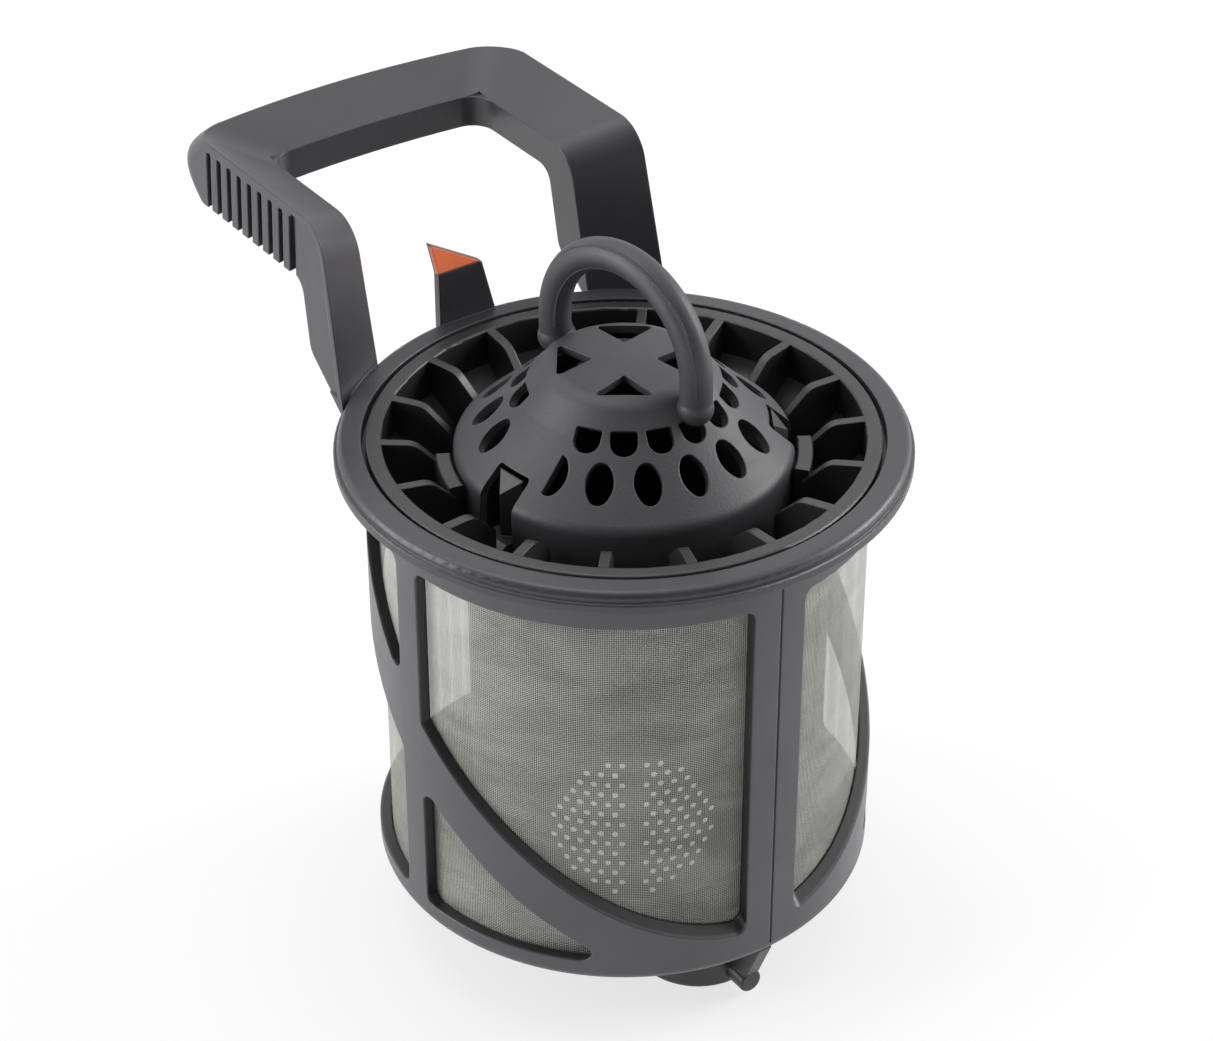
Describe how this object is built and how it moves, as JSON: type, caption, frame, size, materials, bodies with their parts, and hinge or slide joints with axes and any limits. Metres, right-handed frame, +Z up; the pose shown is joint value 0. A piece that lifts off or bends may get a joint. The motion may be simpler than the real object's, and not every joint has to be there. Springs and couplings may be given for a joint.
{
  "type": "dishwasher exhaust filter",
  "caption": "Round dishwasher waste filter: meshed cage with a carrying handle, foot and bayonet peg, and a lift-out ribbed insert with inner cup and domed strainer.",
  "frame": {"origin": "on the filter's axis, in the plane of the collar's underside, where the collar rests on the sump", "axes": "+Z up along the filter's axis, +Y from the axis towards the carrying handle, +X to the right when the handle points away"},
  "size_m": [0.11, 0.1576, 0.1498],
  "materials": {
    "housing_plastic": "fine-grained anthracite moulding",
    "marker_plastic": "orange moulding",
    "cage_plastic": "fine-grained anthracite moulding",
    "mesh_steel": "fine woven stainless wire",
    "insert_plastic": "satin dark moulding",
    "cup_plastic": "satin dark moulding",
    "dome_plastic": "satin anthracite moulding"
  },
  "bodies": {
    "housing": {"collar": "housing_plastic", "lock_marker": "marker_plastic", "cage_frame": "cage_plastic", "mesh_sleeve": "mesh_steel"},
    "insert": {"rib_ring": "insert_plastic", "inner_cup": "cup_plastic", "dome_strainer": "dome_plastic"}
  },
  "joints": [
    {"name": "insert_lift", "type": "slide", "parent": "housing", "child": "insert", "axis": [0, 0, 1], "range_m": [0, 0.105]}
  ]
}
